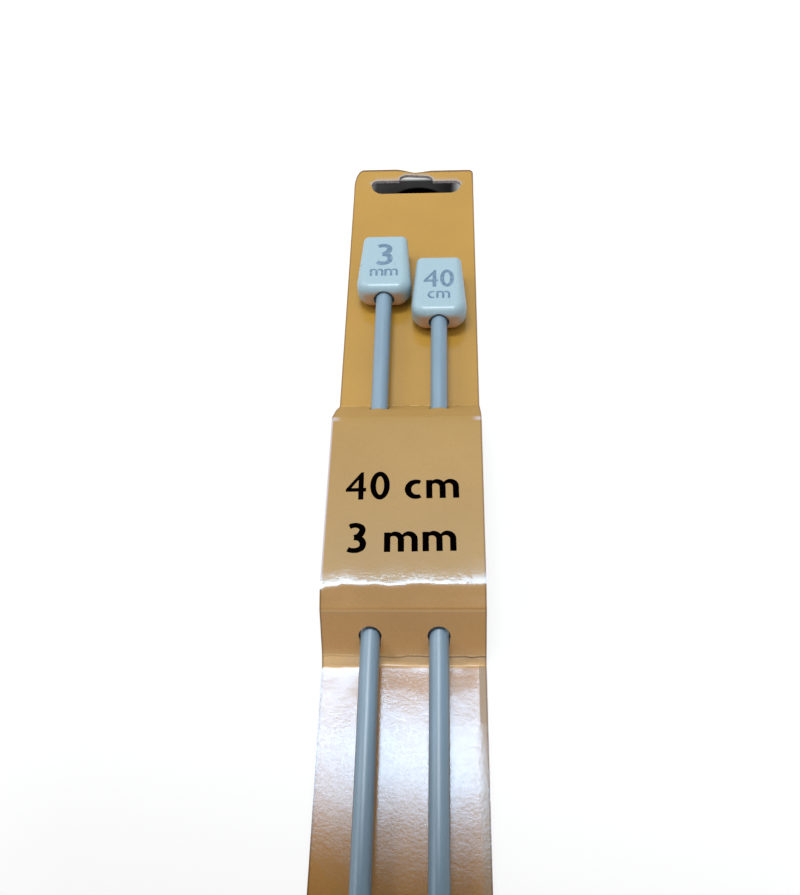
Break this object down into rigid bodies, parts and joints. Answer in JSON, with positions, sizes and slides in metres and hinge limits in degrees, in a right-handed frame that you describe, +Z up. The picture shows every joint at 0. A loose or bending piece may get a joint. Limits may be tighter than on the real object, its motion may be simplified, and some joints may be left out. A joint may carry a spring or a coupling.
{
  "type": "pair of knitting needles",
  "caption": "Straight single-point knitting needles with flat tapered heads, threaded through a folded hang card that covers their points.",
  "frame": {"origin": "on the table, under the middle of the card", "axes": "+Y along the needles towards their heads and the hang slot, +Z up out of the card's printed face, +X to the right"},
  "size_m": [0.025, 0.4572, 0.0093],
  "materials": {
    "card": "ochre printed board with a clear gloss coat",
    "shaft": "satin grey coating",
    "head": "pale blue-white moulded plastic, softly glossy"
  },
  "bodies": {
    "card": {"card": "card"},
    "left_needle": {"left_shaft": "shaft", "left_head": "head"},
    "right_needle": {"right_shaft": "shaft", "right_head": "head"}
  },
  "joints": [
    {"name": "left_needle_slide", "type": "slide", "parent": "card", "child": "left_needle", "axis": [0, 1, 0], "range_m": [-0.006, 0.355]},
    {"name": "right_needle_slide", "type": "slide", "parent": "card", "child": "right_needle", "axis": [0, 1, 0], "range_m": [-0.001, 0.36]}
  ]
}
